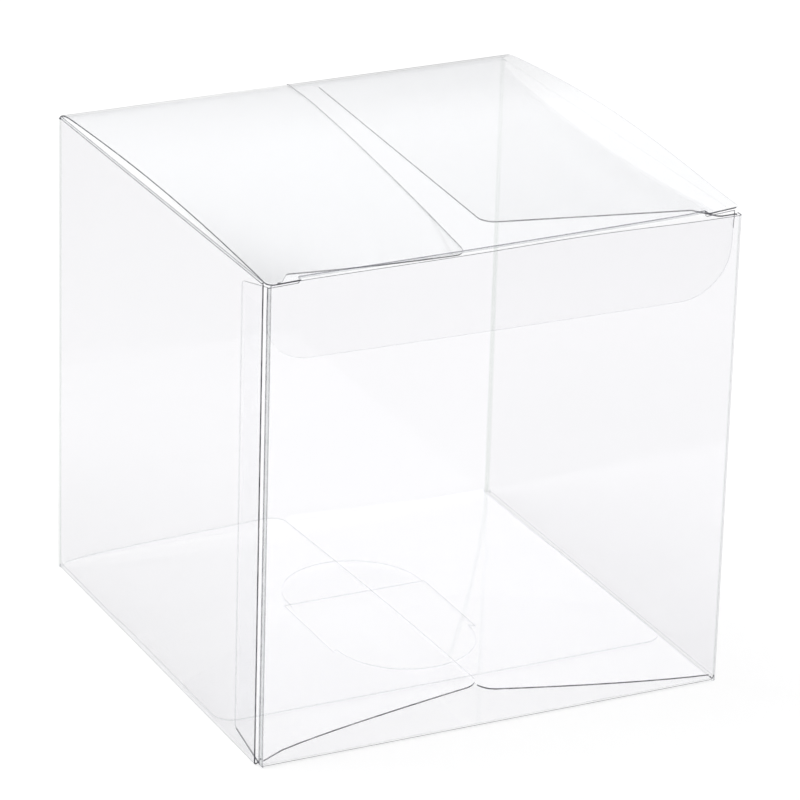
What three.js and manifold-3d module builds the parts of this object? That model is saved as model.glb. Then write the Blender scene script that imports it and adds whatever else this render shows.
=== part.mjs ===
// A clear folding gift box: one die-cut sheet of clear plastic, folded along creases, glued at one
// side seam, closed below by a tongue through a window and above by a lid that tucks in.
// Millimetres, +Z up, the front towards -Y. The origin is the middle of the footprint, on the floor.
// Every panel of the folded sheet is a mesh of its own, because each one turns about its crease.

import * as THREE from "three";
import { mergeVertices } from "three/addons/utils/BufferGeometryUtils.js";
import Module from "manifold-3d";

const wasm = await Module();
wasm.setup();

// The box, outside
const width = 101.6;
const depth = 102.4;
const height = 100.3;

// The sheet
const sheet = 0.3;
const foldRadius = 0.8; // outside radius of a folded crease
const clearance = 0.15; // air between panels that lie on or turn past each other

// The side seam, on the left near the front
const seamSetback = 2; // from the front fold back to the raw edge of the left wall
const glueFlapReach = 12.2;
const glueFlapTaper = 2.7; // how much lower its free edge is cut at each end
const glueThickness = 0.1;
const glueMargin = 1.6; // from the edges of the overlap to the edge of the glue

// The lid and the flap that tucks in behind the front wall
const lidMargin = 0.5; // from the side of the box to the side of the lid
const foldSetback = 1.6; // from the front of the box back to the lid's front fold
const foldRiseLeft = 0.1; // how far the front fold stands above the walls at each side
const foldRiseRight = 1.1;
const bowLeft = 1.7; // how far the lid arches up between its hinge and its fold
const bowRight = 4.9;
const slitLength = 7.4; // the cut from each side that frees the fold's ends
const slitDrop = 1.2; // the ears of the lid reach this far past the fold
const earCorner = 1.5;
const tuckMargin = 1.05; // from the side of the box to the side of the tuck flap
const tuckDepth = 16.8;
const tuckCorner = 9.5;
const tuckLean = 1.1; // its free edge leans back from the front wall

// The dust flaps under the lid
const shoulderReach = 3.6; // the square shoulder beside the crease, which the slit catches
const shoulderDrop = 5; // the step from the shoulder back to the tapered front edge
const shoulderRun = 3.4; // the run of that step
const dustTaper = 12.5; // degrees
const dustCorner = 3.5;
const dustBackMargin = 1.4; // from the back of the box
const leftDustReach = 50.3; // from the left side of the box, all along its free edge
const rightDustFrontReach = 48.4; // from the right side of the box
const rightDustBackReach = 44.4;
const leftDustDroop = 8.2; // how far its front corner hangs down

// The base: two locked panels below, two loose flaps above
const baseMargin = 1; // from the sides of the box to the sides of the base panels
const frontPanelReach = 39.4; // to the start of its sloping shoulders
const frontPanelCorner = 4;
const shoulderSlope = 31; // degrees
const lockLine = 64.5; // from the front of the box to the window's straight edge
const lockOffset = 0.5; // the lock lies this far to the right of the middle
const tongueRadius = 15.2;
const tongueStart = 4.5; // how far before the lock line the tongue leaves the floor
const windowHalfWidth = 16.15;
const windowSide = 24; // the window's straight sides
const windowArc = 15; // radius of its round front end
const backPanelEdge = 20; // from the front of the box to the back panel's free edge
const backPanelCorner = 4;
const backPanelSettle = 5; // behind the lock line it comes down to the floor over this distance
const sideFlapTaper = 5.1; // degrees
const sideFlapCorner = 3.5;
const sideFlapBackMargin = 1.4;
const sideFlapGap = 0.3; // between the free edges of the two flaps, in the middle
const ridgeFront = 3.4; // the two flaps push each other up this far where they meet
const ridgeBack = 1.9;

const arcSteps = 10; // straight pieces in a rounded corner

// Places counted from the left and from the front of the box, as they are drawn on the flat sheet.
const fromLeft = (distance) => distance - width / 2;
const fromFront = (distance) => distance - depth / 2;
const ramp = (value, start, end) => THREE.MathUtils.smoothstep(value, start, end);
const mix = THREE.MathUtils.lerp;
const radians = THREE.MathUtils.degToRad;

// A closed three.js geometry as a solid that can be cut and joined.
function solidOf(geometry) {
  const bare = geometry.index ? geometry.toNonIndexed() : geometry.clone();
  bare.deleteAttribute("normal");
  bare.deleteAttribute("uv");
  const merged = mergeVertices(bare, 1e-5);
  const triVerts = new Uint32Array(merged.index.array);
  const vertProperties = merged.attributes.position.array;
  return new wasm.Manifold(new wasm.Mesh({ numProp: 3, vertProperties, triVerts }));
}

// A solid as a three.js geometry with flat facets.
function geometryOf(solid) {
  const { vertProperties, triVerts } = solid.getMesh();
  const indexed = new THREE.BufferGeometry();
  indexed.setAttribute("position", new THREE.BufferAttribute(vertProperties, 3));
  indexed.setIndex(new THREE.BufferAttribute(triVerts, 1));
  const facets = indexed.toNonIndexed();
  facets.computeVertexNormals();
  return facets;
}

// The closed outline through corners [x, y, radius], each rounded by its own radius.
function outline(corners) {
  const points = corners.flatMap(([x, y, radius = 0], i) => {
    const corner = new THREE.Vector2(x, y);
    if (radius === 0) return [corner];
    const back = new THREE.Vector2(...corners.at(i - 1)).sub(corner).normalize();
    const on = new THREE.Vector2(...corners[(i + 1) % corners.length]).sub(corner).normalize();
    const half = Math.acos(back.dot(on)) / 2;
    const bisector = back.clone().add(on).normalize();
    const centre = corner.clone().addScaledVector(bisector, radius / Math.sin(half));
    const start = corner.clone().addScaledVector(back, radius / Math.tan(half)).sub(centre);
    const end = corner.clone().addScaledVector(on, radius / Math.tan(half)).sub(centre);
    const clockwise = back.cross(on) > 0;
    const { x: u, y: v } = centre;
    const arc = new THREE.EllipseCurve(u, v, radius, radius, start.angle(), end.angle(), clockwise);
    return arc.getPoints(arcSteps);
  });
  return new THREE.Shape(points.filter((p, i) => p.distanceTo(points.at(i - 1)) > 1e-6));
}

// An outline drawn in plan, as an upright block between two heights.
function block(shape, low, high) {
  const options = { depth: high - low, bevelEnabled: false, curveSegments: 6 };
  return solidOf(new THREE.ExtrudeGeometry(shape, options).translate(0, 0, low));
}

// An outline drawn as seen from the front (x, z), as a block from y = back to y = front.
function frontBlock(shape, front, back) {
  const options = { depth: back - front, bevelEnabled: false, curveSegments: 6 };
  const geometry = new THREE.ExtrudeGeometry(shape, options);
  return solidOf(geometry.rotateX(Math.PI / 2).translate(0, back, 0));
}

// An outline drawn as seen from the right (y, z), as a block from x = left to x = right.
function sideBlock(shape, left, right) {
  const options = { depth: right - left, bevelEnabled: false, curveSegments: 6 };
  const geometry = new THREE.ExtrudeGeometry(shape, options);
  return solidOf(geometry.rotateX(Math.PI / 2).rotateZ(Math.PI / 2).translate(left, 0, 0));
}

// Numbers from one value to another in equal steps.
const evenly = (from, to, steps) =>
  Array.from({ length: steps + 1 }, (_, i) => mix(from, to, i / steps));

// A piece of sheet cut to an outline in plan, its lower face lying at the height rise(x, y). It
// bends between rows at the places along y that stations holds, which run past the outline.
function bentSheet(shape, columns, stations, rise) {
  const bounds = new THREE.Box2().setFromPoints(shape.getPoints(arcSteps)).expandByScalar(1);
  const size = bounds.getSize(new THREE.Vector2());
  const rows = stations.length - 1;
  const blank = new THREE.BoxGeometry(size.x, rows, sheet, columns, rows, 1);
  blank.translate((bounds.min.x + bounds.max.x) / 2, rows / 2, sheet / 2);
  const place = blank.attributes.position;
  for (let i = 0; i < place.count; i++) {
    const y = stations[Math.round(place.getY(i))];
    place.setY(i, y);
    place.setZ(i, place.getZ(i) + rise(place.getX(i), y));
  }
  return solidOf(blank).intersect(block(shape, -height, 2 * height));
}

// The bend of a base panel, seen from the side: a quarter round up from the floor to the wall, with
// a short tail along the floor. towards is 1 when the panel runs to the back and -1 to the front.
function baseBend(y, towards) {
  const centre = y + towards * foldRadius;
  const wall = towards > 0 ? Math.PI : 0;
  const floor = towards > 0 ? 1.5 * Math.PI : -0.5 * Math.PI;
  const inside = foldRadius - sheet;
  const shape = new THREE.Shape();
  shape.absarc(centre, foldRadius, foldRadius, wall, floor, towards < 0);
  shape.lineTo(centre + towards * sheet, 0);
  shape.lineTo(centre + towards * sheet, sheet);
  shape.absarc(centre, foldRadius, inside, floor, wall, towards > 0);
  return sideBlock(shape, fromLeft(baseMargin), -fromLeft(baseMargin));
}

const clear = () =>
  new THREE.MeshStandardMaterial({
    color: 0xe9edf2,
    roughness: 0.08,
    metalness: 0,
    transparent: true,
    opacity: 0.3,
    side: THREE.DoubleSide,
  });

function piece(name, solid, material = clear()) {
  const mesh = new THREE.Mesh(geometryOf(solid), material);
  mesh.name = name;
  return mesh;
}

// Inside faces and hinge lines that several panels share
const right = -fromLeft(0);
const back = -fromFront(0);
const seamThickness = sheet + glueThickness + sheet;
const leftHinge = fromLeft(seamThickness + clearance + sheet / 2);
const rightHinge = right - (sheet + clearance + sheet / 2);
const lidHinge = back - sheet / 2;
const lidUnderside = height - sheet;
const dustUnderside = lidUnderside - clearance - sheet;
const foldLine = fromFront(foldSetback);
const secondLayer = sheet + clearance;
const thirdLayer = 2 * secondLayer;
const lockCentre = lockOffset;

// A wall's plan: a straight strip with a quarter-round fold at each end.
function foldedStrip(left, rightEnd, outside, inward) {
  const inner = foldRadius - sheet;
  const leftCentre = left + foldRadius;
  const rightCentre = rightEnd - foldRadius;
  const middle = outside + inward * foldRadius;
  const facing = inward > 0 ? 1.5 * Math.PI : 0.5 * Math.PI;
  const turn = inward < 0;
  const shape = new THREE.Shape();
  shape.absarc(leftCentre, middle, foldRadius, Math.PI, facing, turn);
  shape.absarc(rightCentre, middle, foldRadius, facing, inward > 0 ? 2 * Math.PI : 0, turn);
  shape.absarc(rightCentre, middle, inner, inward > 0 ? 2 * Math.PI : 0, facing, !turn);
  shape.absarc(leftCentre, middle, inner, facing, Math.PI, !turn);
  return shape;
}

// A front or back wall seen from the front: its lower edge is lifted by the base panel's bend, and
// its folded corners stand on the floor.
function wallFace(top) {
  const foot = fromLeft(baseMargin - clearance);
  return outline([
    [fromLeft(-1), 0],
    [foot, 0],
    [foot, foldRadius],
    [-foot, foldRadius],
    [-foot, 0],
    [right + 1, 0],
    [right + 1, top],
    [fromLeft(-1), top],
  ]);
}

function frontWall() {
  const plan = foldedStrip(fromLeft(sheet + glueThickness), right, fromFront(0), 1);
  const face = frontBlock(wallFace(height), fromFront(-1), fromFront(foldRadius + 1));
  return block(plan, -1, height + 1).intersect(face);
}

function backWall() {
  const plan = foldedStrip(fromLeft(0), right, back, -1);
  const top = lidUnderside - clearance;
  const face = frontBlock(wallFace(top), back - foldRadius - 1, back + 1);
  return block(plan, -1, height + 1).intersect(face);
}

function sideWall(outside, inside, frontEdge) {
  const shape = outline([
    [fromFront(frontEdge), 0],
    [back - foldRadius, 0],
    [back - foldRadius, height],
    [fromFront(frontEdge), height],
  ]);
  return sideBlock(shape, Math.min(outside, inside), Math.max(outside, inside));
}

function glueFlap() {
  const top = lidUnderside - 2 * clearance;
  const bottom = foldRadius;
  const shape = outline([
    [fromFront(foldRadius), bottom],
    [fromFront(glueFlapReach), bottom + glueFlapTaper],
    [fromFront(glueFlapReach), top - glueFlapTaper],
    [fromFront(foldRadius), top],
  ]);
  const outside = fromLeft(sheet + glueThickness);
  return sideBlock(shape, outside, outside + sheet);
}

function seamGlue() {
  const front = seamSetback + glueMargin;
  const rear = glueFlapReach - glueMargin;
  const low = foldRadius + glueFlapTaper + glueMargin;
  const shape = outline([
    [fromFront(front), low, 1],
    [fromFront(rear), low, 1],
    [fromFront(rear), height - low, 1],
    [fromFront(front), height - low, 1],
  ]);
  return sideBlock(shape, fromLeft(sheet), fromLeft(sheet + glueThickness));
}

// The height of the lid's lower face: it starts flat at the hinge, arches up quickly, and comes
// down gently to the front fold, which stands higher at the right.
function lidHeight(x, y) {
  const across = (x - fromLeft(0)) / width;
  const along = THREE.MathUtils.clamp((y - foldLine) / (lidHinge - foldLine), 0, 1);
  const fold = mix(foldRiseLeft, foldRiseRight, across);
  const bow = mix(bowLeft, bowRight, across);
  const arch = Math.sqrt(Math.max(0, Math.sin(Math.PI * along ** 1.3)));
  return lidUnderside + fold * (1 - along) + bow * arch;
}

function lid() {
  const side = fromLeft(lidMargin);
  const slit = fromLeft(slitLength);
  const frontEdge = foldLine + sheet / 2 + clearance;
  const shape = outline([
    [side, back],
    [side, foldLine - slitDrop, earCorner],
    [slit, foldLine - slitDrop, 0.4],
    [slit, frontEdge],
    [-slit, frontEdge],
    [-slit, foldLine - slitDrop, 0.4],
    [-side, foldLine - slitDrop, earCorner],
    [-side, back],
  ]);
  const stations = [foldLine - slitDrop - 1, ...evenly(foldLine, lidHinge, 24), back + 1];
  return bentSheet(shape, 12, stations, lidHeight);
}

// The tuck flap, drawn flat with the fold along x at y = 0 and its free edge below.
function tuckFlap() {
  const side = fromLeft(tuckMargin);
  const slit = fromLeft(slitLength);
  const top = -sheet / 2 - clearance;
  const level = foldRiseRight - foldRiseLeft; // the free edge is level though the fold is not
  const shape = outline([
    [slit, top],
    [slit, -slitDrop, 0.4],
    [side, -slitDrop],
    [side, -tuckDepth, tuckCorner],
    [-side, -tuckDepth - level, tuckCorner],
    [-side, -slitDrop],
    [-slit, -slitDrop, 0.4],
    [-slit, top],
  ]);
  return block(shape, -sheet / 2, sheet / 2);
}

// A dust flap in plan, for a crease at x = hinge and a free edge whose ends lie at x = frontEnd and
// x = backEnd. The shoulder beside the crease stands just behind the tuck flap.
function dustOutline(hinge, frontEnd, backEnd) {
  const inward = Math.sign(frontEnd - hinge);
  const shoulder = fromFront(foldSetback + sheet + 2 * clearance);
  const rear = fromFront(depth - dustBackMargin);
  const step = hinge + inward * (shoulderReach + shoulderRun);
  const tapered = shoulder + shoulderDrop;
  const frontCorner = tapered + Math.abs(frontEnd - step) * Math.tan(radians(dustTaper));
  const edge = hinge - inward * (sheet / 2);
  const corners = [
    [edge, shoulder],
    [hinge + inward * shoulderReach, shoulder, 1.5],
    [step, tapered, 1.5],
    [frontEnd, frontCorner, dustCorner],
    [backEnd, rear, 1.5],
    [edge, rear],
  ];
  return outline(inward > 0 ? corners : corners.reverse());
}

// The left dust flap sags towards its free front corner and stays level along its crease.
function leftDustFlap() {
  const free = fromLeft(leftDustReach);
  const rear = fromFront(depth - dustBackMargin);
  const front = fromFront(foldSetback + shoulderDrop);
  const sag = (x, y) => {
    const reach = Math.max(0, (x - leftHinge) / (free - leftHinge));
    const forward = THREE.MathUtils.clamp((rear - y) / (rear - front), 0, 1);
    return dustUnderside - leftDustDroop * reach * forward ** 1.75;
  };
  const stations = evenly(fromFront(0), back, 24);
  return bentSheet(dustOutline(leftHinge, free, free), 12, stations, sag);
}

function rightDustFlap() {
  const front = right - rightDustFrontReach;
  const rear = right - rightDustBackReach;
  return block(dustOutline(rightHinge, front, rear), dustUnderside, dustUnderside + sheet);
}

// The outer base panel: it lies on the floor, and its tongue climbs through the window.
function baseFrontPanel() {
  const side = fromLeft(baseMargin);
  const near = lockCentre - tongueRadius;
  const far = lockCentre + tongueRadius;
  const start = fromFront(frontPanelReach);
  const slope = Math.tan(radians(shoulderSlope));
  const tip = fromFront(lockLine) + tongueRadius;
  const shape = outline([
    [side, fromFront(foldRadius)],
    [-side, fromFront(foldRadius)],
    [-side, start, frontPanelCorner],
    [far, start + (-side - far) * slope],
    [far, tip, tongueRadius],
    [near, tip, tongueRadius],
    [near, start + (near - side) * slope],
    [side, start, frontPanelCorner],
  ]);
  const foot = fromFront(lockLine - tongueStart);
  const crest = fromFront(lockLine - clearance);
  const lift = (x, y) => thirdLayer * ramp(y, foot, crest);
  const stations = [fromFront(0), ...evenly(foot, crest, 10), tip + 1];
  return bentSheet(shape, 2, stations, lift).add(baseBend(fromFront(0), 1));
}

// The second base panel: over the front panel, down to the floor behind it, with the lock window.
function baseBackPanel() {
  const side = fromLeft(baseMargin);
  const free = fromFront(backPanelEdge);
  const shape = outline([
    [side, back - foldRadius],
    [side, free, backPanelCorner],
    [-side, free, backPanelCorner],
    [-side, back - foldRadius],
  ]);
  const straight = fromFront(lockLine);
  const arcCentre = straight - windowSide + 1;
  const window = new THREE.Shape();
  window.moveTo(lockCentre + windowHalfWidth, straight);
  window.lineTo(lockCentre - windowHalfWidth, straight);
  window.lineTo(lockCentre - windowHalfWidth, straight - windowSide);
  window.lineTo(lockCentre - windowArc, arcCentre);
  window.absarc(lockCentre, arcCentre, windowArc, Math.PI, 2 * Math.PI, false);
  window.lineTo(lockCentre + windowHalfWidth, straight - windowSide);
  const floor = straight + backPanelSettle;
  const settle = (x, y) => secondLayer * (1 - ramp(y, straight, floor));
  const stations = [free - 1, ...evenly(straight, floor, 10), back];
  return bentSheet(shape, 2, stations, settle)
    .subtract(block(window, -1, height))
    .add(baseBend(back, -1));
}

// A side flap of the base. The two flaps meet in the middle and hold each other up in a low ridge.
function baseSideFlap(hinge) {
  const inward = -Math.sign(hinge);
  const edge = hinge - inward * (sheet / 2);
  const free = (-inward * sideFlapGap) / 2;
  const reach = Math.abs(free - hinge);
  const front = fromFront(foldRadius + clearance);
  const rear = fromFront(depth - sideFlapBackMargin);
  const corners = [
    [edge, front],
    [free, front + reach * Math.tan(radians(sideFlapTaper)), sideFlapCorner],
    [free, rear, sideFlapCorner],
    [edge, rear],
  ];
  const lift = (x, y) => {
    const out = Math.max(0, (inward * (x - hinge)) / reach);
    const ridge = mix(ridgeFront, ridgeBack, (y - front) / (rear - front));
    return thirdLayer + ridge * out ** 1.5;
  };
  const shape = outline(inward > 0 ? corners : corners.reverse());
  return bentSheet(shape, 14, evenly(fromFront(0), back, 10), lift);
}

const box = new THREE.Group();

box.add(piece("front_wall", frontWall()));
box.add(piece("right_wall", sideWall(right, right - sheet, foldRadius)));
box.add(piece("back_wall", backWall()));
box.add(piece("left_wall", sideWall(fromLeft(0), fromLeft(sheet), seamSetback)));
box.add(piece("glue_flap", glueFlap()));

const glue = new THREE.MeshStandardMaterial({
  color: 0xdfe3e6,
  roughness: 0.3,
  metalness: 0,
  transparent: true,
  opacity: 0.4,
});
box.add(piece("seam_glue", seamGlue(), glue));

box.add(piece("lid", lid()));

// The tuck flap hangs from the lid's front fold, which climbs a little to the right.
const fold = new THREE.Group();
fold.position.set(0, foldLine, lidUnderside + sheet / 2 + (foldRiseLeft + foldRiseRight) / 2);
fold.rotation.y = -Math.atan((foldRiseRight - foldRiseLeft) / width);
const tuck = piece("tuck_flap", tuckFlap());
tuck.rotation.x = Math.PI / 2 + Math.asin(tuckLean / tuckDepth);
fold.add(tuck);
box.add(fold);

box.add(piece("left_dust_flap", leftDustFlap()));
box.add(piece("right_dust_flap", rightDustFlap()));
box.add(piece("base_front_panel", baseFrontPanel()));
box.add(piece("base_back_panel", baseBackPanel()));
box.add(piece("base_left_flap", baseSideFlap(leftHinge)));
box.add(piece("base_right_flap", baseSideFlap(rightHinge)));

export default box;
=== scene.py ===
# %% [markdown]
# # A clear folding gift box
#
# This box is one sheet of clear plastic, cut out flat, creased and folded. Nothing on it is a block:
# every panel is the same thin sheet, and what the eye reads is its cut edges, its creases and what
# its faces mirror. So the lesson builds it as a maker does: draw a flat outline, fold it, and give
# it the thickness of the sheet.
#
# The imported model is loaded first. It fixes where every panel is and which body it turns with.

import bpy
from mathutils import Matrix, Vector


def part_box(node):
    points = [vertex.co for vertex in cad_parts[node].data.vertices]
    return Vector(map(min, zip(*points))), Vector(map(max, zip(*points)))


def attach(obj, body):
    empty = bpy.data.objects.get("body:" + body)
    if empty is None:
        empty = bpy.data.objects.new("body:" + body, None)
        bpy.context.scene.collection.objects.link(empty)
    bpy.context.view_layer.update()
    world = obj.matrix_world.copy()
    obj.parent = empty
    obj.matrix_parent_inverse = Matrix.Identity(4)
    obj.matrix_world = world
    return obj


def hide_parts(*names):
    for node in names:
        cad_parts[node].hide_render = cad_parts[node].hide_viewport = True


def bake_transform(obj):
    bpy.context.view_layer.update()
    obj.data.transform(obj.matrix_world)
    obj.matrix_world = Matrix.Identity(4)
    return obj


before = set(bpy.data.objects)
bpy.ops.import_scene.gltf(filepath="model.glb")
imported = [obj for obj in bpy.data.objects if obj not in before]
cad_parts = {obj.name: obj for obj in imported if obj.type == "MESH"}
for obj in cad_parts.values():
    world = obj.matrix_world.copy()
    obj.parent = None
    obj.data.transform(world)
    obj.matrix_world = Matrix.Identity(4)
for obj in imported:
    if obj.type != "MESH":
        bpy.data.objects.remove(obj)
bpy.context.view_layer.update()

import bmesh
import bpy
import math
import random
from mathutils import Matrix, Vector

# %% [markdown]
# The sizes that the panels share come from the frame, so the sheet of this scene lies where the
# solids lie. Left is -X and the front is -Y. Every panel's outside face is the one that is placed,
# and the sheet's thickness lies inside it, so that the outside sizes stay true.

# %% Sizes from the frame
mm = 0.001
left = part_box("left_wall")[0].x
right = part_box("right_wall")[1].x
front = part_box("front_wall")[0].y
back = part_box("back_wall")[1].y
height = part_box("front_wall")[1].z
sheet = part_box("glue_flap")[1].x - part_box("glue_flap")[0].x
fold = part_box("glue_flap")[0].y - front  # outside radius of a folded crease
middle = Vector((0, 0, height / 2))  # of the box, to tell outwards from inwards
print(f"box {(right - left) / mm:.1f} x {(back - front) / mm:.1f} x {height / mm:.1f} mm,",
      f"sheet {sheet / mm:.2f} mm, folds {fold / mm:.1f} mm round")

# %% [markdown]
# The camera comes next, because everything after it is judged through it. The photograph was taken
# from a little above, with a long lens: upright edges hardly lean. A camera could be placed by eye
# with a Track To constraint. Here its place, its two directions and its lens were worked out from
# the corners of the box, so they are plain numbers.

# %% Camera
eye = Vector((-0.41122, -0.82931, 0.43764))
sight = Vector((0.41219, 0.82501, -0.38659)).normalized()
upward = Vector((0.89928, -0.43652, 0.02729)).cross(sight).normalized()
sideways = sight.cross(upward)

lens = bpy.data.cameras.new("camera")
lens.sensor_width = 36
lens.lens = 223.13
camera = bpy.data.objects.new("camera", lens)
camera.matrix_world = Matrix.Translation(eye) @ Matrix((sideways, upward, -sight)).transposed().to_4x4()
bpy.context.scene.collection.objects.link(camera)
bpy.context.scene.camera = camera
print(f"camera {eye.length:.2f} m away, {lens.lens:.0f} mm lens")

# %% [markdown]
# Node trees are written with three small helpers, so that a material below reads as a recipe.

# %% Helpers for materials
def node(tree, kind, settings=None, **inputs):
    """A shader node with its settings made and its inputs filled in or wired."""
    made = tree.nodes.new("ShaderNode" + kind)
    for name, value in (settings or {}).items():
        setattr(made, name, value)
    for name, value in inputs.items():
        connect(tree, made.inputs[name.replace("_", " ")], value)
    return made


def connect(tree, socket, value):
    if isinstance(value, bpy.types.NodeSocket):
        tree.links.new(value, socket)
    else:
        socket.default_value = value


def maths(tree, operation, *values):
    """The output of a Math node."""
    made = node(tree, "Math", {"operation": operation})
    for socket, value in zip(made.inputs, values):
        connect(tree, socket, value)
    return made.outputs[0]


def mixed(tree, share, first, second):
    """The output of a Mix Shader: at share 0 it is the first shader and at 1 the second."""
    made = node(tree, "MixShader")
    for socket, value in zip(made.inputs, (share, first, second)):
        connect(tree, socket, value)
    return made.outputs[0]


def material(name, recipe, *amounts):
    """A material whose surface is what recipe(tree, place, *amounts) gives."""
    made = bpy.data.materials.new(name)
    made.use_nodes = True
    tree = made.node_tree
    tree.nodes.clear()
    place = node(tree, "TexCoord").outputs["Object"]
    node(tree, "OutputMaterial", Surface=recipe(tree, place, *amounts))
    return made


# %% [markdown]
# Clear sheet could be glass on a thin solid. Each ray would then bend twice at every panel, a view
# through this box crosses about ten panels, and the bends of two close faces cancel anyway. So the
# sheet is a window pane instead: Transparent lets the view straight through, and Glossy is mixed
# in by as much as plastic mirrors at that angle. Layer Weight's Facing measures the angle alike on
# both sides of a face, and Schlick's curve turns it into the mirrored share. The Fresnel node
# wouldn't do, because it takes the far side of a face for the inside of a solid block.
#
# Nothing handled stays quite clear. A little pale haze is mixed in, cloudy over a few centimetres and
# with fine rubbed specks, and the gloss has the faintest ripple of rolled sheet. The one sheet has four
# finishes: the flaps inside are the clearest, the walls a little less so, and the lid is tinted the
# greyest. The two flaps under the lid mirror more, so that the gap between them reads as a greyer
# strip. Where two panels are glued, the glue wets the faces between them, so the glued flap gets a
# recipe without gloss.

# %% Clear sheet and its creases
def mirrored_share(tree, head_on):
    """Schlick's curve: head_on of a ray that meets the face squarely, all of one that grazes it."""
    facing = node(tree, "LayerWeight", Blend=0.5).outputs["Facing"]
    grazing = maths(tree, "POWER", facing, 5.0)
    return maths(tree, "MULTIPLY_ADD", grazing, 1 - head_on, head_on)


def clear_plastic(tree, place, tint, haze, roughness, head_on=0.05):
    clouds = node(tree, "TexNoise", Vector=place, Scale=30.0, Detail=1.0).outputs["Fac"]
    specks = node(tree, "TexNoise", Vector=place, Scale=1100.0, Detail=0.0).outputs["Fac"]
    rubbed = node(tree, "MapRange", Value=specks, From_Min=0.62, From_Max=0.75).outputs["Result"]
    cloudy = node(tree, "MapRange", Value=clouds, To_Min=0.4, To_Max=1.6).outputs["Result"]
    share = maths(tree, "MULTIPLY", maths(tree, "ADD", cloudy, rubbed), haze)
    view_through = node(tree, "BsdfTransparent", Color=(*tint, 1)).outputs[0]
    pale = node(tree, "BsdfDiffuse", Color=(0.9, 0.9, 0.92, 1)).outputs[0]
    ripple = node(tree, "Bump", Strength=0.15, Distance=0.0002, Height=clouds).outputs["Normal"]
    gloss = node(tree, "BsdfGlossy", Color=(1, 1, 1, 1), Roughness=roughness, Normal=ripple)
    body = mixed(tree, share, view_through, pale)
    return mixed(tree, mirrored_share(tree, head_on), body, gloss.outputs[0])


def bonded_plastic(tree, place, tint, haze):
    view_through = node(tree, "BsdfTransparent", Color=(*tint, 1)).outputs[0]
    pale = node(tree, "BsdfDiffuse", Color=(0.9, 0.9, 0.92, 1)).outputs[0]
    return mixed(tree, haze, view_through, pale)


clear_sheet = material("clear_sheet", clear_plastic, (0.994, 0.993, 0.998), 0.004, 0.04)
inner_sheet = material("inner_sheet", clear_plastic, (0.998, 0.998, 0.999), 0.002, 0.04)
# The lid's finish is tinted the greyest, and the dust flaps' finish mirrors more head-on.
greyest_sheet = material("greyest_sheet", clear_plastic, (0.935, 0.938, 0.944), 0.004, 0.05)
more_mirroring_sheet = material("more_mirroring_sheet", clear_plastic, (0.998, 0.998, 0.996), 0.002, 0.04, 0.12)
glued_sheet = material("glued_sheet", bonded_plastic, (0.997, 0.997, 0.999), 0.006)
# The crease is tinted greyer than the flat sheet, painted shade for the light its bend turns away, with
# a little more pale haze.
creased = material("crease", clear_plastic, (0.915, 0.928, 0.92), 0.012, 0.12)
clear_finishes = [clear_sheet, inner_sheet, greyest_sheet, more_mirroring_sheet, glued_sheet, creased]
print("made", ", ".join(finish.name for finish in clear_finishes))

# %% [markdown]
# Cut edges are the dark things on a clear box. The die leaves them rough, and light that meets one
# is bent away from the eye. So is light that meets the groove of a sharp crease, its score line.
# Both are modelled as they look: narrow strips of painted grey shade, standing in for the light that is
# bent away, that let part of the view through, with small nicks along them. The painted shade comes in
# copies for how an edge faces the light and the eye: an edge that faces the room is the darkest, one
# seen through the sheet is softer, and one that looks down at the white table all but vanishes.

# %% Cut edges and score lines
# A strip of painted grey shade for the light a cut edge or score line bends away, with real nicks along
# it.
def painted_shade_strip(tree, place, grey, cover):
    nicks = node(tree, "TexNoise", Vector=place, Scale=500.0, Detail=2.0).outputs["Fac"]
    share = node(tree, "MapRange", Value=nicks, From_Min=0.3, From_Max=0.7,
                 To_Min=0.85 * cover, To_Max=min(1.0, 1.1 * cover)).outputs["Result"]
    view_through = node(tree, "BsdfTransparent", Color=(0.97, 0.975, 0.985, 1)).outputs[0]
    painted_shade = node(tree, "BsdfPrincipled", Base_Color=(*grey, 1), Roughness=0.45).outputs[0]
    return mixed(tree, share, view_through, painted_shade)


# The score line and three copies of the cut edge: painted shade in strengths picked by how each strip
# faces.
sheet_finishes = clear_finishes + [
    material("score_line", painted_shade_strip, (0.12, 0.12, 0.15), 0.65),
    material("cut_edge_dark", painted_shade_strip, (0.07, 0.07, 0.09), 0.9),
    material("cut_edge_soft", painted_shade_strip, (0.2, 0.2, 0.23), 0.5),
    material("cut_edge_faint", painted_shade_strip, (0.4, 0.4, 0.44), 0.2),
]
(SHEET, INNER, GREYEST, MORE_MIRRORING, GLUED,
 CREASE, SCORE, DARK, SOFT, FAINT) = range(len(sheet_finishes))
print("made", ", ".join(finish.name for finish in sheet_finishes[SCORE:]))

# %% [markdown]
# Every panel starts as a flat outline with rounded corners, the shape of the cutting die. An arc
# could be listed point by point, but it is clearer to name each corner and its radius and to work
# the arc out from them.

# %% Outlines
def rounded(corners, steps=10):
    """The points of a closed outline through corners (across, along, radius)."""
    points = []
    for i, (x, y, radius) in enumerate(corners):
        corner = Vector((x, y))
        if radius == 0:
            points.append(corner)
            continue
        to_last = (Vector(corners[i - 1][:2]) - corner).normalized()
        to_next = (Vector(corners[(i + 1) % len(corners)][:2]) - corner).normalized()
        half = to_last.angle(to_next) / 2
        centre = corner + (to_last + to_next).normalized() * (radius / math.sin(half))
        start = corner + to_last * (radius / math.tan(half)) - centre
        turn = math.copysign(math.pi - 2 * half, to_next.cross(to_last))
        for k in range(steps + 1):
            points.append(centre + Matrix.Rotation(turn * k / steps, 2) @ start)
    return [p for i, p in enumerate(points) if (p - points[i - 1]).length > 1e-6]


def evenly(start, end, steps):
    """Numbers from start to end in equal steps."""
    return [start + (end - start) * i / steps for i in range(steps + 1)]


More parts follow.
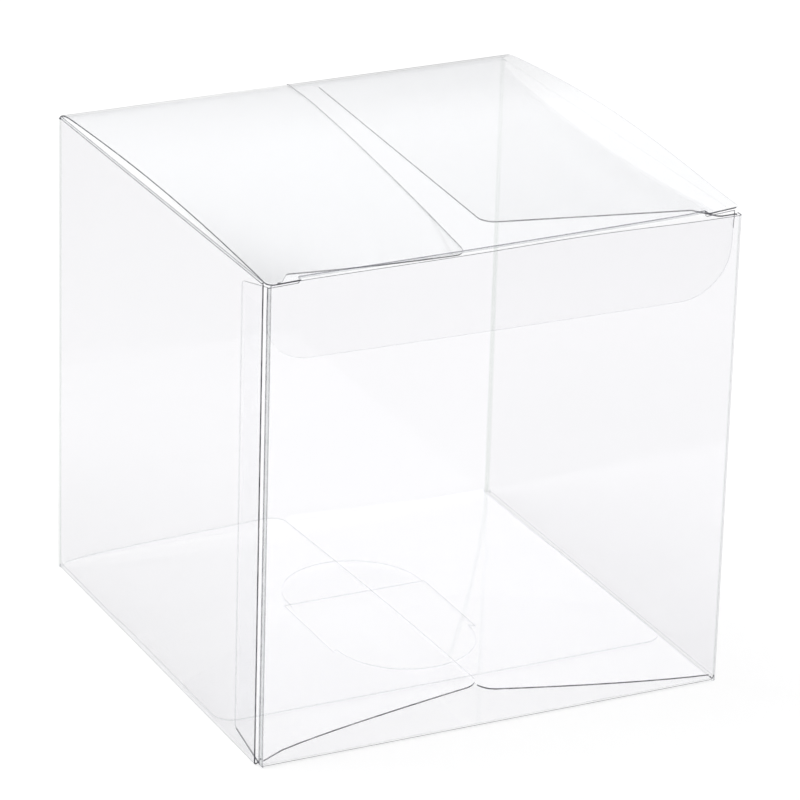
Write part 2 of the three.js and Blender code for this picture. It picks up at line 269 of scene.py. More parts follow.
def gathered(start, end, steps):
    """Numbers from start to end, closer together near both."""
    return [start + (end - start) * (1 - math.cos(math.pi * i / steps)) / 2 for i in range(steps + 1)]


def ramp(value, start, end):
    """0 at start, 1 at end and a smooth rise between."""
    t = min(1.0, max(0.0, (value - start) / (end - start)))
    return t * t * (3 - 2 * t)


def mix(a, b, t):
    return a + (b - a) * t


# %% [markdown]
# Folding is a function from a point of the flat outline to a point of the box. The outline is cut
# along the lines where the sheet bends, every corner is moved to its folded place, and Solidify
# gives the sheet its thickness, inwards. Solidify keeps the outside faces first, then puts their
# copies inside, and last the strips that close the rim, which are the cut edges. A groove is only
# on the outside, so a copy of its strip becomes plain crease. A Weighted Normal modifier keeps the
# big panels flat in their shading while the narrow creases beside them stay round.

# %% Cut, fold and thicken
def cut_flat(outline, holes, across, along):
    """A flat mesh of the outline, cut along the places across and along it."""
    flat = bmesh.new()
    edges = []
    for loop in (outline, *holes):
        corners = [flat.verts.new((*point, 0)) for point in loop]
        edges += [flat.edges.new(pair) for pair in zip(corners, corners[1:] + corners[:1])]
    if holes:
        bmesh.ops.triangle_fill(flat, use_beauty=True, edges=edges)
    else:
        flat.faces.new(flat.verts[:])
    for places, direction in ((across, Vector((1, 0, 0))), (along, Vector((0, 1, 0)))):
        for place in places:
            everything = flat.verts[:] + flat.edges[:] + flat.faces[:]
            bmesh.ops.bisect_plane(flat, geom=everything, dist=0.001 * mm,
                                   plane_co=direction * place, plane_no=direction)
    return flat


def thicken(piece, thickness):
    """Solidify, applied: the faces that there were stay outside."""
    layer = piece.modifiers.new("thickness", "SOLIDIFY")
    layer.thickness = thickness
    layer.offset = -1
    layer.use_even_offset = True
    solid = bpy.data.meshes.new_from_object(
        piece.evaluated_get(bpy.context.evaluated_depsgraph_get()))
    piece.modifiers.clear()
    piece.data = solid


def as_object(name, flat, finishes):
    """The mesh as an object of the scene."""
    mesh = bpy.data.meshes.new(name)
    flat.to_mesh(mesh)
    flat.free()
    for each in finishes:
        mesh.materials.append(each)
    piece = bpy.data.objects.new(name, mesh)
    bpy.context.scene.collection.objects.link(piece)
    return piece


def folded_sheet(name, outline, folding, finish, rim, across=(), along=(), holes=()):
    """A panel: the outline, cut, moved by folding(across, along) and made as thick as the sheet.

    finish(across, along) gives the finish of each face, and rim(centre, normal) that of each strip
    of the rim."""
    flat = cut_flat(outline, holes, across, along)
    for face in flat.faces:
        spot = face.calc_center_median()
        face.material_index = finish(spot.x, spot.y)
    for corner in flat.verts:
        corner.co = folding(corner.co.x, corner.co.y)
    flat.normal_update()
    outward = sum(f.calc_area() * f.normal.dot(f.calc_center_median() - middle) for f in flat.faces)
    if outward < 0:
        bmesh.ops.reverse_faces(flat, faces=flat.faces[:])
    piece = as_object(name, flat, sheet_finishes)
    outside = len(piece.data.polygons)
    thicken(piece, sheet)
    for index, face in enumerate(piece.data.polygons):
        if index >= 2 * outside:
            face.material_index = rim(face.center, face.normal)
        elif index >= outside and face.material_index >= SCORE:
            face.material_index = CREASE
        face.use_smooth = True
    piece.data.set_sharp_from_angle(angle=math.radians(35))
    piece.modifiers.new("even_shading", "WEIGHTED_NORMAL").keep_sharp = True
    print(f"{name}: {len(piece.data.polygons)} faces")
    return piece


def on_a_join(centre, *joins):
    """Whether a rim strip lies in one of the planes (axis, place) where two panels join."""
    return any(abs(centre["xyz".index(axis)] - place) < 0.02 * mm for axis, place in joins)


# %% [markdown]
# The walls and the glue flap are one strip that walks round the box. It starts at the raw front
# edge of the left wall, goes to the back, the right and forward again, and ends as the glue flap
# inside the left wall. A box's corner could be bevelled afterwards, but here each corner is a
# quarter turn of the walk itself, so its crease is as round as the sheet lets it be.

# %% The walk round the box
quarter = fold * math.pi / 2
seam_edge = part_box("left_wall")[0].y
flap_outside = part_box("glue_flap")[0].x
flap_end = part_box("glue_flap")[1].y
straights = [
    back - fold - seam_edge,
    right - left - 2 * fold,
    back - front - 2 * fold,
    right - flap_outside - 2 * fold,
    flap_end - front - fold,
]
starts = [sum(straights[:i]) + quarter * i for i in range(len(straights))]
ends = [start + straight for start, straight in zip(starts, straights)]


def walk(distance):
    """The place in plan, this far along the outside of the strip."""
    place, heading = Vector((left, seam_edge)), Vector((0, 1))
    for straight in straights:
        place = place + heading * min(distance, straight)
        inward = Vector((heading.y, -heading.x))
        angle = min(quarter, max(0.0, distance - straight)) / fold
        place += fold * (heading * math.sin(angle) + inward * (1 - math.cos(angle)))
        heading = inward
        distance -= straight + quarter
        if distance <= 0:
            break
    return place


print(f"strip {ends[-1] / mm:.1f} mm long")

# %% [markdown]
# Where the lid, the dust flaps and the base's panels join a wall, the wall stops where their fold
# begins. The front wall's top edge is the only long edge that nothing holds, and the pull of the lid
# lets it lean in a little, most at the right of the middle. Of the four upright creases, the front left
# one carries the glue flap and is drawn with a score line and a grey band, strips of painted shade; the
# front right one gets a faint strip of it.

# %% Walls
dust_radius = 0.4 * mm
left_dust_level = height + 0.1 * mm
right_dust_level = height - 0.3 * mm
left_top, right_top = left_dust_level - dust_radius, right_dust_level - dust_radius
lid_crease = height - fold
foot = fold
base_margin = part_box("base_front_panel")[0].x - left
dust_front, dust_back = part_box("left_dust_flap")[0].y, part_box("left_dust_flap")[1].y
base_front, base_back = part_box("base_left_flap")[0].y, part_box("base_left_flap")[1].y
lid_left, lid_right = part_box("lid")[0].x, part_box("lid")[1].x
even_lean, bulge_lean, bulge_x = 0.45 * mm, 0.7 * mm, 16 * mm
corner_cut = 0.5 * mm
glue_flap_taper = 2.7 * mm


def front_lean(x, z):
    """How far the front wall leans in, this far along it and up."""
    held = ramp(x, left + fold, left + 9 * mm) * (1 - ramp(x, bulge_x + 9 * mm, right - 7 * mm))
    bulge = math.exp(-((x - bulge_x) / (16 * mm)) ** 2) * (1 - ramp(x, right - 9 * mm, right - fold))
    return (even_lean * held + bulge_lean * bulge) * ramp(z, 0.1 * height, height)


def fold_walls(distance, z):
    place = walk(distance)
    lean = front_lean(place.x, z) if starts[3] < distance < ends[3] else 0
    return Vector((place.x, place.y + lean, z))


def on_left(y):
    return starts[0] + y - seam_edge


def on_back(x):
    return starts[1] + x - (left + fold)


def on_right(y):
    return starts[2] + (back - fold) - y


def on_front(x):
    return starts[3] + (right - fold) - x


def wall_corners():
    base_left, base_right = left + base_margin, right - base_margin
    shoulder = height - corner_cut
    return [
        (0, foot, 0), (on_left(base_back), foot, 0), (on_left(base_back), 0, 0),
        (on_back(base_left), 0, 0), (on_back(base_left), foot, 0),
        (on_back(base_right), foot, 0), (on_back(base_right), 0, 0),
        (on_right(base_back), 0, 0), (on_right(base_back), foot, 0),
        (on_right(base_front), foot, 0), (on_right(base_front), 0, 0),
        (on_front(base_right), 0, 0), (on_front(base_right), foot, 0),
        (on_front(base_left), foot, 0), (on_front(base_left), 0, 0),
        (ends[3], 0, 0), (starts[4], foot, 0),
        (ends[4], foot + glue_flap_taper, 1 * mm),
        (ends[4], shoulder - glue_flap_taper, 1 * mm), (starts[4], shoulder, 0),
        (ends[3], height, 0), (starts[3], height, 0),
        (on_right(dust_front), height, 0.5 * mm), (on_right(dust_front), right_top, 0),
        (on_right(dust_back), right_top, 0), (on_right(dust_back), shoulder, 0),
        (on_back(lid_right), shoulder, 0), (on_back(lid_right), lid_crease, 0),
        (on_back(lid_left), lid_crease, 0), (on_back(lid_left), shoulder, 0),
        (on_left(dust_back), shoulder, 0), (on_left(dust_back), left_top, 0),
        (0, left_top, 0),
    ]


def wall_finish(distance, z):
    """Clear sheet, but for the corners: each one's share of a quarter turn picks its strip, a greyer
    crease or a strip of painted shade.
    """
    turned = [(distance - end) / quarter for end in ends[:4]]
    if 0.17 < turned[3] < 1:
        return (SOFT, FAINT, FAINT, SCORE, SCORE)[int(turned[3] * 6) - 1]
    if 0.33 < turned[2] < 1:
        return FAINT
    if any(0 < share < 1 for share in turned[:2]):
        return CREASE
    return GLUED if distance > starts[4] else SHEET


def wall_rim(centre, normal):
    """No cut edge where a panel joins, a faint one at the feet and to the back, and dark ones else."""
    if on_a_join(centre, ("z", foot), ("z", left_top), ("z", right_top), ("z", lid_crease)):
        return SHEET
    if centre.z < foot or normal.y > 0.5:
        return FAINT
    return DARK


corner_cuts = [cut for end, start in zip(ends, starts[1:]) for cut in evenly(end, start, 6)]
walls = folded_sheet("walls", rounded(wall_corners()), fold_walls, wall_finish, wall_rim,
                     across=corner_cuts + evenly(starts[3], ends[3], 20)[1:-1],
                     along=evenly(0.1 * height, height, 9))
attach(walls, "box")
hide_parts("front_wall", "right_wall", "back_wall", "left_wall", "glue_flap")

# %% [markdown]
# The lid is springy, and its creases don't close to a right angle. So it springs up quickly beside
# the back crease and arches gently from there to the front fold, more at the right than at the
# left. The slit at each end of the front fold frees an ear, which stays up at the right and dips
# at the left.
#
# The lid is one mesh with its crease.

# %% Lid
lid_turn = math.radians(45)  # how far the crease turns before the lid's own spring takes over
lid_start = back - fold + fold * math.cos(lid_turn)
crease_length = fold * lid_turn
crease_drop = fold * (1 - math.sin(lid_turn))
fold_line = front + 1.6 * mm
fold_radius = 0.7 * mm
lid_end = fold_line - sheet / 2 + fold_radius
slit_end = 7.4 * mm - (right - left) / 2
ear_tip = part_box("lid")[0].y
spring_at_left, spring_at_right = 0.85 * mm, 1.6 * mm
arch_at_left, arch_at_right = 1.45 * mm, 2.8 * mm
fold_rise, more_at_right = 0.35 * mm, 0.9 * mm
right_ear_lift, left_ear_dip = 0.6 * mm, 0.25 * mm


def lid_height(x, y):
    """The height of the lid's upper face."""
    across = (x - left) / (right - left)
    from_hinge = max(0.0, lid_start - y)
    from_fold = max(0.0, y - lid_end)
    forward = min(1.0, from_hinge / (lid_start - lid_end))
    sprung = 1 - math.exp(-from_hinge / (1.8 * mm))
    spring = mix(spring_at_left, spring_at_right, across) * sprung * (1 - forward)
    arch = mix(arch_at_left, arch_at_right, across) * math.sin(math.pi * forward)
    at_fold = (fold_rise + more_at_right * across ** 1.9) * forward
    at_hinge = crease_drop * math.exp(-from_hinge / (1 * mm))
    near_front = math.exp(-from_fold / (9 * mm))
    right_ear = right_ear_lift * ramp(x, -slit_end - 5 * mm, lid_right) * near_front
    left_ear = left_ear_dip * ramp(-x, -slit_end - 2 * mm, -lid_left) * near_front
    return height + spring + arch + at_fold - at_hinge + right_ear - left_ear


def fold_lid(x, y):
    if y <= lid_start:
        return Vector((x, y, lid_height(x, y)))
    angle = lid_turn - (y - lid_start) / fold
    return Vector((x, back - fold + fold * math.cos(angle), lid_crease + fold * math.sin(angle)))


def lid_rim(centre, normal):
    """No cut edge at the joins with the wall and the tuck flap, and a faint one at the right."""
    if on_a_join(centre, ("z", lid_crease)):
        return SHEET
    if abs(centre.y - lid_end) < 0.1 * mm and abs(centre.x) < -slit_end:
        return SHEET
    return FAINT if normal.x > 0.5 else DARK


lid_outline = rounded([
    (lid_left, lid_start + crease_length, 0),
    (lid_left, ear_tip, 1.5 * mm),
    (slit_end, ear_tip, 0.4 * mm),
    (slit_end, lid_end, 0),
    (-slit_end, lid_end, 0),
    (-slit_end, ear_tip, 0.4 * mm),
    (lid_right, ear_tip, 1.5 * mm),
    (lid_right, lid_start + crease_length, 0),
])
lid_cuts = gathered(lid_end, lid_start, 36) + evenly(lid_start, lid_start + crease_length, 4)[1:-1]
lid = folded_sheet("lid_sheet", lid_outline, fold_lid, lambda x, y: GREYEST, lid_rim,
                   across=evenly(lid_left, lid_right, 20)[1:-1], along=lid_cuts)
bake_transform(lid)
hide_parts("lid")

# %% [markdown]
# The tuck flap hangs from the lid's front fold, behind the front wall. It starts where the lid ends,
# turns down round the fold, whose groove is drawn as the dark line seen from above, a strip of painted
# shade, and leans back.
# Where the wall leans in, the flap is pushed back by as much, because two sheets can't share a
# place.

# %% Tuck flap
tuck_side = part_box("tuck_flap")[1].x
tuck_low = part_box("tuck_flap")[0].z
tuck_quarter = fold_radius * math.pi / 2
tuck_slope = 1.1 / 16.8
shoulder_drop = 1.2 * mm
air = 0.1 * mm


def fold_tuck(x, down):
    top = lid_height(x, lid_end)
    if down <= tuck_quarter:
        angle = down / fold_radius
        return Vector((x, lid_end - fold_radius * math.sin(angle),
                       top - fold_radius * (1 - math.cos(angle))))
    below = down - tuck_quarter
    z = top - fold_radius - below
    y = lid_end - fold_radius + tuck_slope * below
    behind_wall = front + sheet + front_lean(x, min(z, height)) + air
    push = max(0.0, behind_wall - y) * ramp(below, 0, 1.2 * mm)
    return Vector((x, y + push, z))


def down_to(x, z):
    """How far down the flap's own face a height lies."""
    return lid_height(x, lid_end) - fold_radius - z + tuck_quarter


def tuck_rim(centre, normal):
    if abs(centre.y - lid_end) < 0.1 * mm and centre.z > height - 0.5 * mm:
        return SHEET
    if centre.z > height - 3 * mm:
        return DARK
    return SOFT if normal.x < -0.6 else FAINT


shoulder = tuck_quarter + shoulder_drop - fold_radius
tuck_outline = rounded([
    (slit_end, 0, 0),
    (slit_end, shoulder, 0.3 * mm),
    (-tuck_side, shoulder, 0),
    (-tuck_side, down_to(-tuck_side, tuck_low), 9.5 * mm),
    (tuck_side, down_to(tuck_side, tuck_low), 9.5 * mm),
    (tuck_side, shoulder, 0),
    (-slit_end, shoulder, 0.3 * mm),
    (-slit_end, 0, 0),
])


def tuck_finish(x, down):
    turned = down / tuck_quarter
    if turned < 0.33:
        return SCORE
    return FAINT if turned < 0.66 else INNER


tuck = folded_sheet("tuck_sheet", tuck_outline, fold_tuck, tuck_finish, tuck_rim,
                    across=evenly(-tuck_side, tuck_side, 20)[1:-1],
                    along=evenly(0, tuck_quarter, 6)[1:] + evenly(tuck_quarter, 18 * mm, 12)[1:-1])
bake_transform(tuck)
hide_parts("tuck_flap")

# %% [markdown]
# A dust flap is drawn with its crease along one axis and its reach along the other, and folded in
# over the top of its wall. Both have the same square shoulder by the crease, which catches in the
# lid's slit, and then a step and a tapering front edge. The right flap lies level. The left one is
# loose: its free edge stands up a little at the back and hangs down at the front.

# %% Dust flaps
shoulder_reach, shoulder_step, step_run = 3.6 * mm, 5 * mm, 3.4 * mm
dust_taper = math.tan(math.radians(12.5))
left_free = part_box("left_dust_flap")[1].x
right_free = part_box("right_dust_flap")[0].x
right_free_back = right_free + 4 * mm
dust_quarter = dust_radius * math.pi / 2
back_lift, hang_depth = 1.15 * mm, 9.3 * mm
hang_from, hang_run = 92 * mm, 87 * mm  # measured back from the front of the box


def dust_outline(front_reach, back_reach):
    """A dust flap, drawn flat as (place along the crease, distance from the top of the wall)."""
    step = shoulder_reach + step_run
    tapered = dust_front + shoulder_step
    return rounded([
        (dust_front, 0, 0),
        (dust_front, dust_quarter + shoulder_reach, 1.5 * mm),
        (tapered, dust_quarter + step, 1.5 * mm),
        (tapered + (front_reach - step) * dust_taper, dust_quarter + front_reach, 3.5 * mm),
        (dust_back, dust_quarter + back_reach, 1.5 * mm),
        (dust_back, 0, 0),
    ])


def folded_in(wall, inward, level, rise):
    """Folds a flap in over the top of the wall at x = wall, where rise(y, reach) lifts it."""
    def place(y, distance):
        if distance <= dust_quarter:
            angle = distance / dust_radius
            return Vector((wall + inward * dust_radius * (1 - math.cos(angle)), y,
                           level - dust_radius * (1 - math.sin(angle))))
        reach = distance - dust_quarter
        return Vector((wall + inward * (dust_radius + reach), y, level + rise(y, reach)))
    return place


def left_free_height(y):
    """How far the left flap's free edge stands above the top of the walls."""
    from_front = y - front
    hang = max(0.0, (hang_from - from_front) / hang_run) ** 1.35
    return back_lift - hang_depth * hang


def left_rise(y, reach):
    share = reach / (left_free - left - dust_radius)
    return share * (height + left_free_height(y) - left_dust_level)


def dust_rim(centre, normal):
    if on_a_join(centre, ("z", left_top), ("z", right_top)) or normal.y > 0.5:
        return INNER
    return DARK


def dust_flap(name, node_name, wall, inward, level, reaches, rise, strips):
    """A dust flap; strips are the finishes across its fold, from the wall to the flap."""
    def finish(y, distance):
        return strips[int(3 * distance / dust_quarter)] if distance < dust_quarter else MORE_MIRRORING

    whole = dust_quarter + max(reaches)
    flap = folded_sheet(name, dust_outline(*reaches), folded_in(wall, inward, level, rise),
                        finish, dust_rim, across=evenly(dust_front, dust_back, 20)[1:-1],
                        along=evenly(0, dust_quarter, 6)[1:] + evenly(dust_quarter, whole, 8)[1:-1])
    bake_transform(flap)
    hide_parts(node_name)


left_reach = left_free - left - dust_radius
dust_flap("left_dust_sheet", "left_dust_flap", left, 1, left_dust_level,
          (left_reach, left_reach), left_rise, (SCORE, CREASE, SCORE))
right_reaches = [right - dust_radius - free for free in (right_free, right_free_back)]
dust_flap("right_dust_sheet", "right_dust_flap", right, -1, right_dust_level,
          right_reaches, lambda y, reach: 0, (SHEET, CREASE, SHEET))

# %% [markdown]
# The base locks by itself. The panel that folds back from the front wall lies outermost and ends
# in a round tongue. The panel from the back wall lies on it and has a window, and the tongue comes
# up through the window and over its straight edge. Each panel bends by one sheet's thickness where
# it changes sides.

# %% Base panels
lock_line = front + 64.5 * mm
lock_centre = 0.5 * mm
layer = 0.45 * mm
base_left_side, base_right_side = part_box("base_front_panel")[0].x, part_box("base_front_panel")[1].x


def folded_under(wall, inward, rise):
    """Folds a panel in under the wall at y = wall, where rise(x, y) lifts it off the table."""
    def place(x, distance):
        if distance <= quarter:
            angle = distance / fold
            return Vector((x, wall + inward * fold * (1 - math.cos(angle)),
                           foot - fold * math.sin(angle)))
        y = wall + inward * (fold + distance - quarter)
        return Vector((x, y, rise(x, y)))
    return place


def from_front(y):
    return quarter + y - (front + fold)


def from_back(y):
    return quarter + (back - fold) - y


def base_rim(centre, normal):
    return SHEET if on_a_join(centre, ("z", foot)) else FAINT


def tongue_rim(centre, normal):
    """Only the tongue's edge shows: the rest lies flat under the other panels."""
    return FAINT if centre.y > lock_line - 2 * mm else SHEET


tongue_radius = 15.2 * mm
tongue_left, tongue_right = lock_centre - tongue_radius, lock_centre + tongue_radius
tongue_tip = from_front(lock_line + tongue_radius)
panel_reach = from_front(front + 39.4 * mm)
shoulder_slope = math.tan(math.radians(31))
front_panel_outline = rounded([
    (base_left_side, 0, 0),
    (base_right_side, 0, 0),
    (base_right_side, panel_reach, 4 * mm),
    (tongue_right, panel_reach + (base_right_side - tongue_right) * shoulder_slope, 0),
    (tongue_right, tongue_tip, tongue_radius),
    (tongue_left, tongue_tip, tongue_radius),
    (tongue_left, panel_reach + (tongue_left - base_left_side) * shoulder_slope, 0),
    (base_left_side, panel_reach, 4 * mm),
], steps=20)


def tongue_rise(x, y):
    return 2 * layer * ramp(y, lock_line - 4.5 * mm, lock_line - 0.15 * mm)


front_panel = folded_sheet(
    "base_front_sheet", front_panel_outline, folded_under(front, 1, tongue_rise),
    lambda x, distance: SOFT if 0.33 * quarter < distance < quarter else INNER, tongue_rim,
    along=evenly(0, quarter, 6)[1:]
    + evenly(from_front(lock_line - 4.5 * mm), from_front(lock_line - 0.15 * mm), 8))
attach(front_panel, "box")
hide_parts("base_front_panel")

# %% [markdown]
# The window is a hole in the flat outline, so it is cut before the panel is folded. Its front end
# is a half round with a small step on each side, and its back edge is straight.

# %% Base panel with the window
window_half, window_side, arc_radius = 16.15 * mm, 24 * mm, 15 * mm


def window_outline():
    straight = from_back(lock_line)
    side_end = straight + window_side
    arc_centre = Vector((lock_centre, side_end - 1 * mm))
    arc = [arc_centre + arc_radius * Vector((math.cos(angle), math.sin(angle)))
           for angle in evenly(0, math.pi, 24)]
    return [
        Vector((lock_centre - window_half, side_end)),
        Vector((lock_centre - window_half, straight)),
        Vector((lock_centre + window_half, straight)),
        Vector((lock_centre + window_half, side_end)),
        *arc,
    ]


back_bend = 14 * mm
back_panel_free = from_back(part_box("base_back_panel")[0].y)
back_panel_outline = rounded([
    (base_left_side, 0, 0),
    (base_left_side, back_panel_free, 4 * mm),
    (base_right_side, back_panel_free, 4 * mm),
    (base_right_side, 0, 0),
])


def back_panel_rise(x, y):
    return layer * (1 - ramp(y, lock_line, lock_line + back_bend))


back_panel = folded_sheet(
    "base_back_sheet", back_panel_outline, folded_under(back, -1, back_panel_rise),
    lambda x, distance: INNER, base_rim, holes=[window_outline()],
    along=evenly(0, quarter, 6)[1:] + evenly(from_back(lock_line + back_bend), from_back(lock_line), 8))
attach(back_panel, "box")
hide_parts("base_back_panel")

# %% [markdown]
# The two side flaps of the base are the first to be folded in, so they lie on top of the locked
# panels. They are a little wide for the box: their free edges meet in the middle and push each
# other up into a low ridge, higher at the front. The left one bulges up soon after its crease and
# the right one only near the ridge. Each turns in under its wall in a tight fold and climbs onto
# the layers below it.

# %% Base side flaps
tight = 0.5 * mm
tight_quarter = tight * math.pi / 2
short_drop = foot - tight
climb_end = 1.6 * mm
side_flap_taper = math.tan(math.radians(5.1))
bend_length = short_drop + tight_quarter
ridge_from, ridge_run = 9 * mm, 91 * mm  # where along the box the ridge sinks


def flap_rise(y, reach, whole, ridge_front, ridge_back, bulge):
    """The height of a side flap's lower face, this far from its wall."""
    back_share = min(1.0, max(0.0, (y - front - ridge_from) / ridge_run))
    ridge = mix(ridge_front, ridge_back, back_share ** 1.6)
    out = max(0.0, (reach - climb_end) / (whole - climb_end))
    return 2 * layer * ramp(reach, tight, climb_end) + (ridge - 2 * layer) * bulge(out)


def turned_under(wall, inward, whole, shape):
    def place(y, distance):
        if distance <= short_drop:
            return Vector((wall, y, foot - distance))
        angle = (distance - short_drop) / tight
        if angle <= math.pi / 2:
            return Vector((wall + inward * tight * (1 - math.cos(angle)), y,
                           tight * (1 - math.sin(angle))))
        reach = tight + distance - bend_length
        return Vector((wall + inward * reach, y, flap_rise(y, reach, whole, *shape)))
    return place


def flap_finish(y, distance):
    """Faint score lines of painted shade where the tight fold begins and ends."""
    turned = (distance - short_drop) / tight_quarter
    return FAINT if 0 < turned < 0.2 or 0.8 < turned < 1 else INNER


def side_flap(name, node_name, wall, inward, crease_front, shape, edge_finish):
    whole = abs(wall) - 0.15 * mm
    free = bend_length + whole - tight
    climbed = bend_length + climb_end - tight
    outline = rounded([
        (crease_front, 0, 0),
        (crease_front, climbed, 0),
        (base_front, climbed, 0),
        (base_front + whole * side_flap_taper, free, 3.5 * mm),
        (base_back, free, 3.5 * mm),
        (base_back, 0, 0),
    ])
    bends = [short_drop, *evenly(short_drop, bend_length, 5)[1:], *evenly(bend_length, climbed, 5)[1:]]
    flap = folded_sheet(
        name, outline, turned_under(wall, inward, whole, shape), flap_finish,
        lambda centre, normal: SHEET if on_a_join(centre, ("z", foot)) else edge_finish(normal),
        across=evenly(base_front, base_back, 14)[1:-1], along=bends + evenly(climbed, free, 12)[1:-1])
    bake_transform(flap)
    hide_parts(node_name)


def left_edges(normal):
    """Dark where the cut edge faces the front, faint where it lies along the ridge."""
    return DARK if normal.y < -0.5 else FAINT


def right_edges(normal):
    """As at the left, but its edge along the ridge leans on the other flap and doesn't show."""
    return DARK if normal.y < -0.3 else INNER


side_flap("base_left_sheet", "base_left_flap", left, 1, seam_edge,
          (6.2 * mm, 3.1 * mm, lambda out: out ** 0.55), left_edges)
side_flap("base_right_sheet", "base_right_flap", right, -1, base_front,
          (4.9 * mm, 3 * mm, lambda out: out ** 1.4), right_edges)

# %% [markdown]
# The seam is closed with a clear glue that was pressed out flat between the left wall and the glue
# flap. It never wets the sheet all over: its outline wanders, and small bubbles stay in it, most of
# them near the bottom, where the pressing ended. The bubbles are holes in a thin layer.

# %% Glue in the seam
def glue_haze(tree, place):
    clouds = node(tree, "TexNoise", Vector=place, Scale=220.0, Detail=2.0).outputs["Fac"]
    share = node(tree, "MapRange", Value=clouds, To_Min=0.01, To_Max=0.04).outputs["Result"]
    view_through = node(tree, "BsdfTransparent", Color=(0.995, 0.996, 0.998, 1)).outputs[0]
    milky = node(tree, "BsdfPrincipled", Base_Color=(0.86, 0.87, 0.9, 1), Roughness=0.35).outputs[0]
    return mixed(tree, share, view_through, milky)


def wandering(low, high, near, far, step, rng):
    """A closed outline round an upright strip, with edges that wander a little."""
    places = evenly(low, high, int((high - low) / step))
    near_side = [Vector((near + rng.uniform(0, 0.5) * mm, z)) for z in places]
    far_side = [Vector((far - rng.uniform(0, 0.8) * mm, z)) for z in reversed(places)]
    return near_side + far_side


def bubble(y, z, radius):
    """A small upright oval."""
    return [Vector((y + radius * math.cos(angle), z + 1.6 * radius * math.sin(angle)))
            for angle in evenly(0, 2 * math.pi, 10)[:-1]]


def seam_glue():
    low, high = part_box("seam_glue")
    rng = random.Random(4)
    bubbles = []
    z = low.z + 2 * mm
    while z < high.z - 3 * mm:
        y = rng.uniform(low.y + 1.3 * mm, high.y - 1.8 * mm)
        bubbles.append(bubble(y, z, rng.uniform(0.2, 0.5) * mm))
        z += mix(2.2, 9, z / height) * mm * rng.uniform(0.8, 1.2)
    flat = cut_flat(wandering(low.z, high.z, low.y, high.y, 3 * mm, rng), bubbles, (), ())
    for corner in flat.verts:
        corner.co = Vector((low.x, corner.co.x, corner.co.y))
    flat.normal_update()
    if sum(face.normal.x for face in flat.faces) > 0:
        bmesh.ops.reverse_faces(flat, faces=flat.faces[:])
    piece = as_object("glue_layer", flat, [material("clear_glue", glue_haze)])
    thicken(piece, high.x - low.x)
    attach(piece, "box")
    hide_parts("seam_glue")
    print("glue with", len(bubbles), "bubbles")


seam_glue()

# %% [markdown]
# A clear thing shows its surroundings, so the studio is half of the picture. The table is white
# wherever the camera sees it, and it keeps the box's faint shadow. What the faces mirror is the same
# table, with a painted reflection in its glow that only mirrors see: brightest in a ring round the box,
# with painted shade close by and further off, where a lamp-lit table would be greyer. That is what lets
# a clear wall stand out from the white behind it.

# %% Table
table_size = 8.0
table_mesh = bpy.data.meshes.new("table")
half_table = table_size / 2
table_mesh.from_pydata([(-half_table, -half_table, 0), (half_table, -half_table, 0),
                        (half_table, half_table, 0), (-half_table, half_table, 0)], [], [(0, 1, 2, 3)])
table = bpy.data.objects.new("table", table_mesh)
table.location.z = -0.05 * mm
bpy.context.scene.collection.objects.link(table)


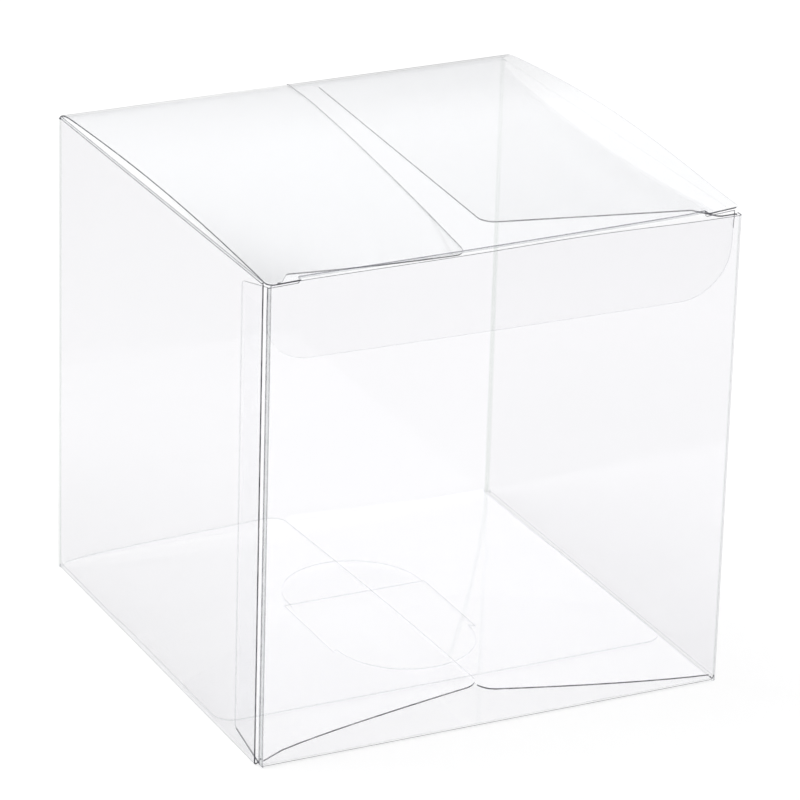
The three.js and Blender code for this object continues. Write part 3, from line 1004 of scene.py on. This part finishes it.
def lit_table(tree, place):
    """White to the camera, a painted ring of light with painted shade close by and further off that
    only mirrors see, and grey paint that keeps the real shadow.
    """
    rays = node(tree, "LightPath").outputs
    seen = maths(tree, "MAXIMUM", rays["Is Camera Ray"], rays["Is Transmission Ray"])
    far = node(tree, "VectorMath", {"operation": "LENGTH"})
    tree.links.new(place, far.inputs[0])
    ring = {"interpolation_type": "SMOOTHSTEP"}
    # Painted reflection: a glow for mirror rays only, dim by the box, brightest in a ring and dim again
    # further off.
    rise = node(tree, "MapRange", ring, Value=far.outputs["Value"],
                From_Min=0.06, From_Max=0.15, To_Min=0.22, To_Max=0.42).outputs["Result"]
    fall = node(tree, "MapRange", ring, Value=far.outputs["Value"],
                From_Min=0.15, From_Max=0.3, To_Min=0.0, To_Max=0.2).outputs["Result"]
    painted_reflection = maths(tree, "MULTIPLY", maths(tree, "SUBTRACT", rise, fall), rays["Is Glossy Ray"])
    strength = maths(tree, "ADD", maths(tree, "MULTIPLY", seen, 0.7), painted_reflection)
    glow = node(tree, "Emission", Color=(1, 1, 1, 1), Strength=strength).outputs[0]
    paint = node(tree, "BsdfDiffuse", Color=(0.38, 0.38, 0.38, 1)).outputs[0]
    both = node(tree, "AddShader")
    tree.links.new(glow, both.inputs[0])
    tree.links.new(paint, both.inputs[1])
    return both.outputs[0]


table_mesh.materials.append(material("table_white", lit_table))
print(f"table {table_size:.0f} m wide")

# %% [markdown]
# The room is an even white. It lights the box at a plain level, and the camera sees it at full white.
# The faces mirror it a little brighter than that: a painted reflection that only mirrors see, standing
# in for the soft boxes of a studio. This painted glow grows darker towards the horizon, so the back of
# the arched lid, which looks that way, mirrors painted shade. One large soft lamp above and behind
# gives the shadow its direction.

# %% Room and lamp
world = bpy.data.worlds.new("white_room")
bpy.context.scene.world = world
world.use_nodes = True
sky = world.node_tree
sky.nodes.clear()
rays = node(sky, "LightPath").outputs
seen = maths(sky, "MAXIMUM", rays["Is Camera Ray"], rays["Is Transmission Ray"])
shown = maths(sky, "MULTIPLY_ADD", seen, 0.4, 0.6)
direction = node(sky, "SeparateXYZ", Vector=node(sky, "TexCoord").outputs["Generated"])
# Painted reflection: extra brightness for mirror rays only, darker towards the horizon.
painted_soft_box = node(sky, "MapRange", {"interpolation_type": "SMOOTHSTEP"}, Value=direction.outputs["Z"],
                From_Min=0.18, From_Max=0.35, To_Min=0.28, To_Max=0.68).outputs["Result"]
painted_reflection = maths(sky, "MULTIPLY", rays["Is Glossy Ray"], painted_soft_box)
strength = maths(sky, "ADD", shown, painted_reflection)
white = node(sky, "Background", Color=(1, 1, 1, 1), Strength=strength).outputs[0]
node(sky, "OutputWorld", Surface=white)

lamp_data = bpy.data.lights.new("soft_lamp", "AREA")
lamp_data.size = 1.2
lamp_data.energy = 14
lamp = bpy.data.objects.new("soft_lamp", lamp_data)
lamp.location = (-0.5, 0.6, 1.4)
lamp.rotation_euler = (-Vector(lamp.location)).to_track_quat("-Z", "Y").to_euler()
lamp.visible_glossy = False
bpy.context.scene.collection.objects.link(lamp)

bpy.context.scene.view_settings.view_transform = "Standard"
bpy.context.scene.cycles.transparent_max_bounces = 64
print("lit")
